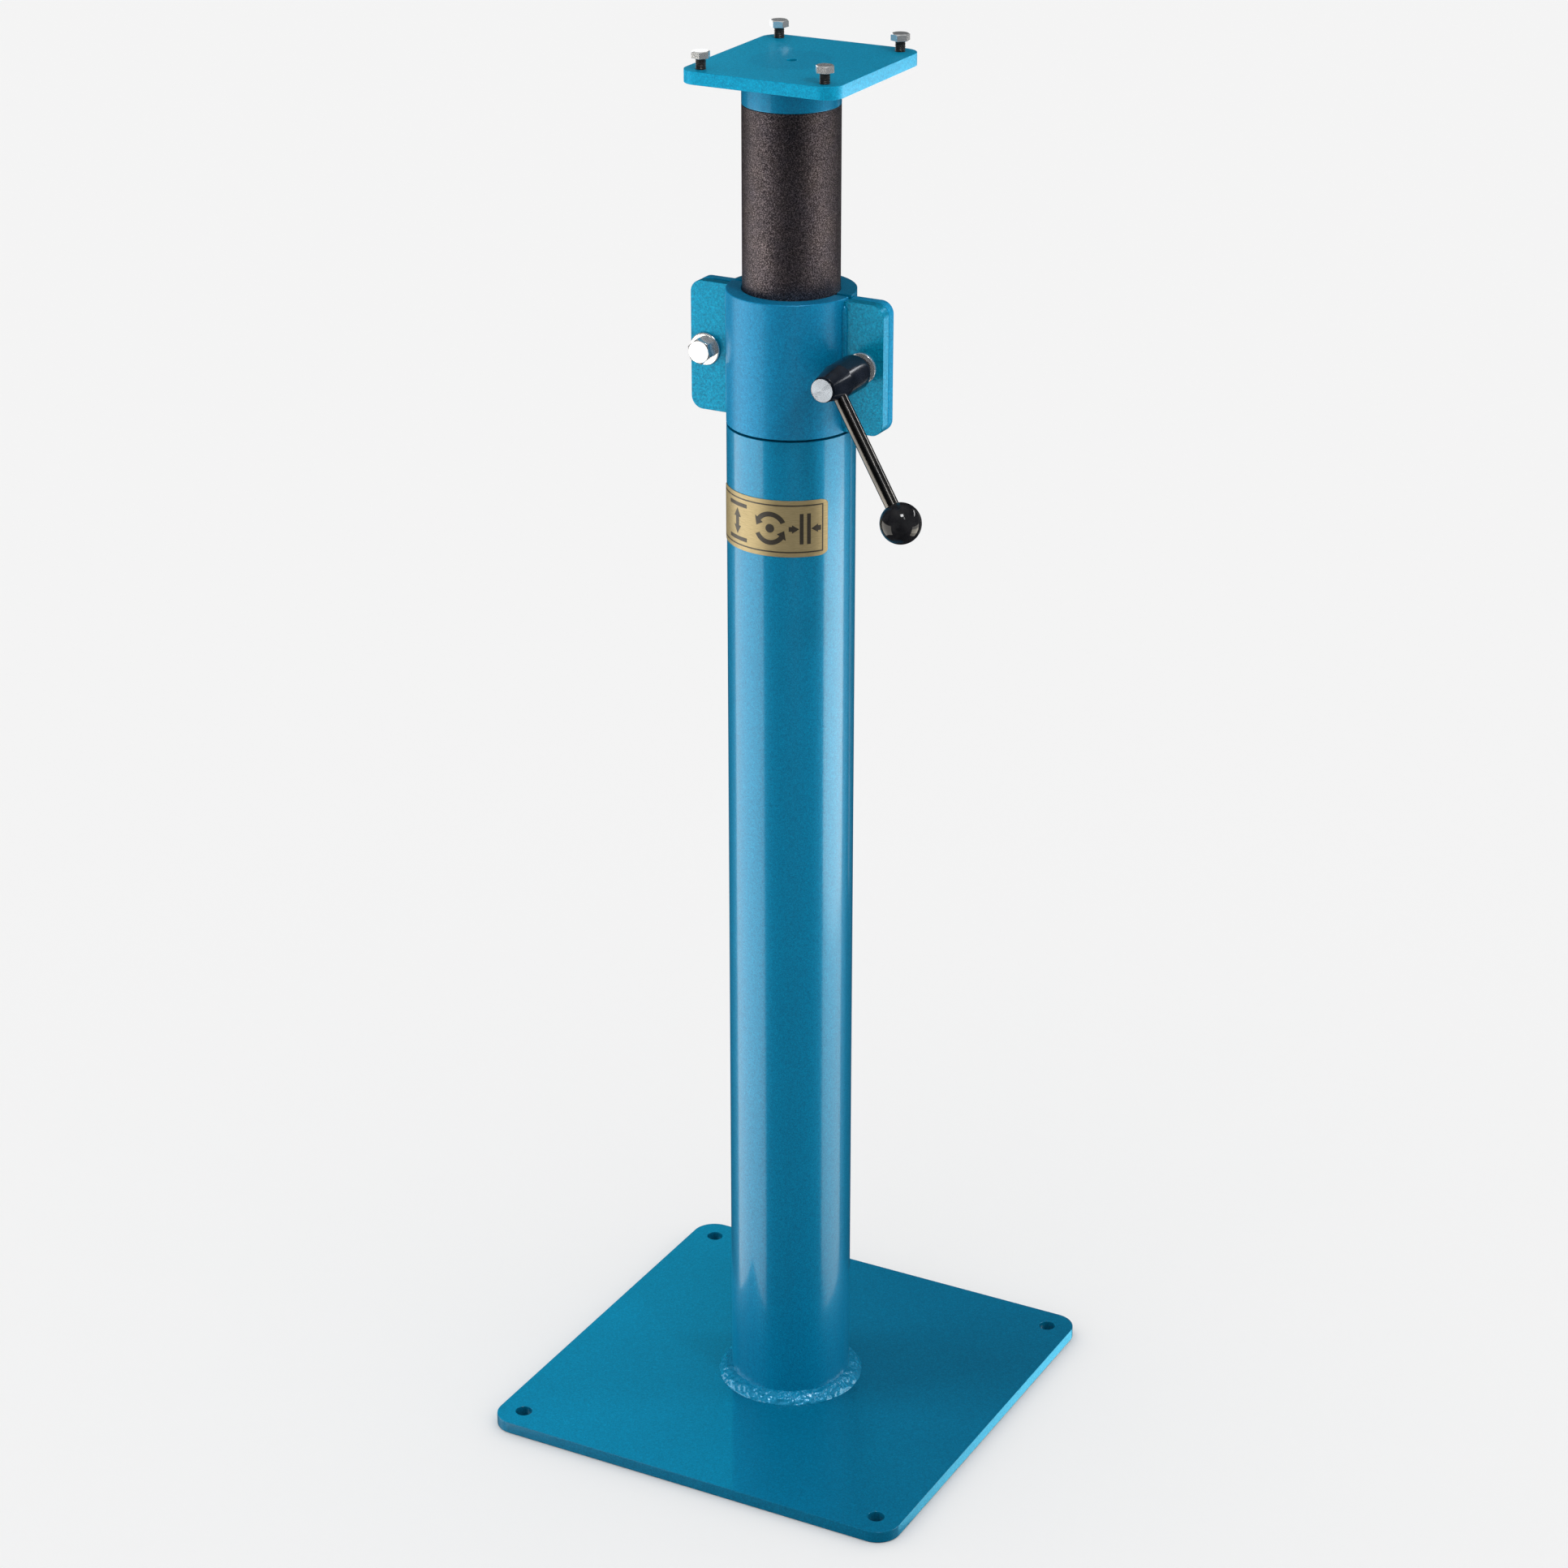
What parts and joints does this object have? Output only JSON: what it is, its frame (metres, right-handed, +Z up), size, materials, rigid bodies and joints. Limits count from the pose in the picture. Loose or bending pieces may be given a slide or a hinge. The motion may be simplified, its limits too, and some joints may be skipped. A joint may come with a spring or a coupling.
{
  "type": "height-adjustable floor stand",
  "caption": "Floor stand with a gas-sprung telescopic column that locks in a split clamp with a ball lever and ends in a top plate with fixing screws.",
  "frame": {"origin": "centre of the base plate's underside, on the column axis", "axes": "+Z up along the column, -Y towards the front, where the clamp jaw and its lever are, +X to the right seen from the front"},
  "size_m": [0.38, 0.38, 1.1667],
  "materials": {
    "blue_paint": "fine textured semi-gloss",
    "dark_coat": "speckled dark coat",
    "zinc": "bright zinc",
    "steel": "turned",
    "black_steel": "black oxide",
    "ball": "polished",
    "gold": "anodised",
    "resin": "matt",
    "black_paint": "satin"
  },
  "bodies": {
    "stand": {"base_plate": "blue_paint", "foot_weld": "blue_paint", "outer_column": "blue_paint", "rear_ear_left": "blue_paint", "rear_ear_right": "blue_paint", "rear_ear_welds": "blue_paint", "hinge_bolt": "zinc", "hinge_washer": "zinc", "hinge_nut": "zinc", "clamp_stud": "steel", "stud_washer": "zinc", "stud_nut": "zinc", "nameplate": "gold", "upper_guide_bush": "resin", "spring_post": "steel", "post_cap": "steel", "spring_rod": "zinc", "spring_piston": "black_paint"},
    "jaw": {"clamp_jaw": "blue_paint", "jaw_ear_left": "blue_paint", "jaw_ear_right": "blue_paint", "jaw_ear_welds": "blue_paint"},
    "washer": {"thrust_washer": "zinc"},
    "lever": {"lever_hub": "black_steel", "lever_rod": "steel", "ball_knob": "ball"},
    "lift": {"spring_cylinder": "black_paint", "rod_gland": "steel", "spring_head": "steel", "bearing_lower_race": "zinc", "bearing_balls": "zinc"},
    "column": {"inner_column": "dark_coat", "lower_guide_ring": "resin", "column_neck": "blue_paint", "neck_weld": "blue_paint", "top_plate": "blue_paint", "centre_screw": "black_steel", "vise_bolts": "zinc", "bearing_upper_race": "zinc"}
  },
  "joints": [
    {"name": "lever_turn", "type": "hinge", "parent": "washer", "child": "lever", "pos_m": [0.066, -0.05, 0.9245], "axis": [0, -1, 0], "range_deg": [0, 120]},
    {"name": "washer_travel", "type": "slide", "parent": "stand", "child": "washer", "axis": [0, -1, 0], "range_m": [0, 0.00059]},
    {"name": "jaw_swing", "type": "hinge", "parent": "stand", "child": "jaw", "pos_m": [-0.071, -0.005, 0.9206], "axis": [0, 0, -1], "range_deg": [0, 0.246]},
    {"name": "column_lift", "type": "slide", "parent": "stand", "child": "lift", "axis": [0, 0, 1], "range_m": [-0.142, 0.058]},
    {"name": "column_swivel", "type": "hinge", "parent": "lift", "child": "column", "pos_m": [0, 0, 1.1], "axis": [0, 0, 1], "continuous": true}
  ],
  "couplings": [
    {"joint": "washer_travel", "follows": "lever_turn", "m_per_rad": 0.00027852},
    {"joint": "jaw_swing", "follows": "lever_turn", "ratio": 0.002033}
  ]
}
